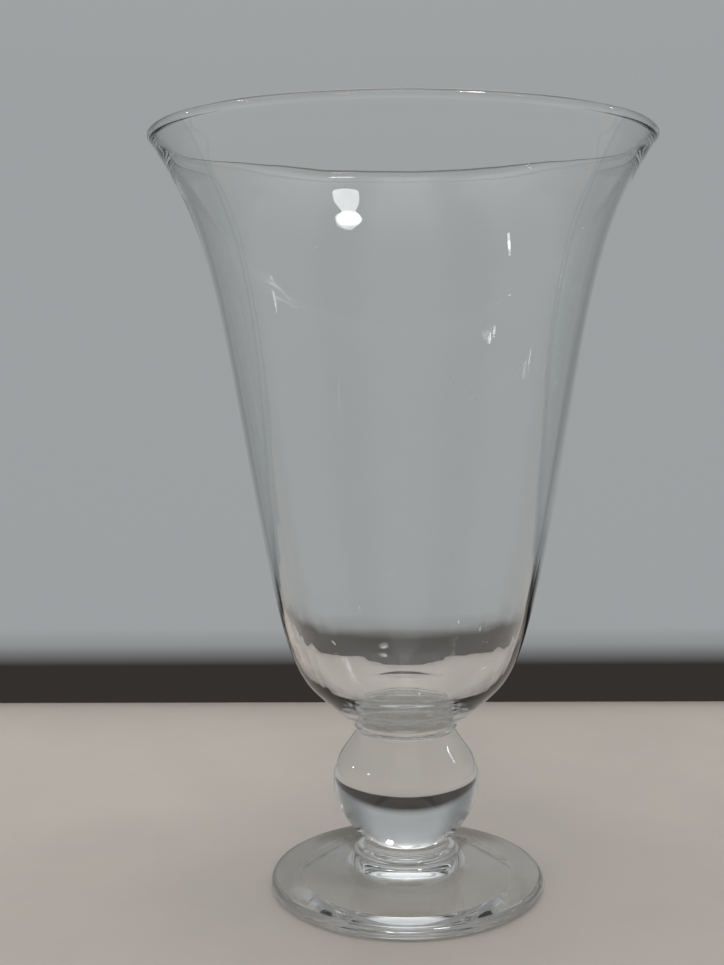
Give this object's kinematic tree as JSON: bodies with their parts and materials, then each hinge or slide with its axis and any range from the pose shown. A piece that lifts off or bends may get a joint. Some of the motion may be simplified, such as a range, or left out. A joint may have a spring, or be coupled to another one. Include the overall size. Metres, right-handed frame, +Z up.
{
  "type": "footed trumpet vase",
  "caption": "Tall clear-glass vase: a flared trumpet bowl with a thick base, a solid ball knop between thin collars, and a round spreading foot.",
  "frame": {"origin": "centre of the flat ring under the foot, on the surface the vase stands on", "axes": "+Z up along the axis of the vase, towards the open mouth; +X and +Y are any two square directions, because the vase is round"},
  "size_m": [0.2612, 0.2612, 0.402],
  "materials": {
    "bowl_glass": "clear polished",
    "stem_glass": "clear polished",
    "foot_glass": "clear polished"
  },
  "bodies": {
    "root": {"bowl": "bowl_glass", "upper_collar": "stem_glass", "ball_knop": "stem_glass", "lower_collar": "stem_glass", "foot": "foot_glass"}
  },
  "joints": []
}
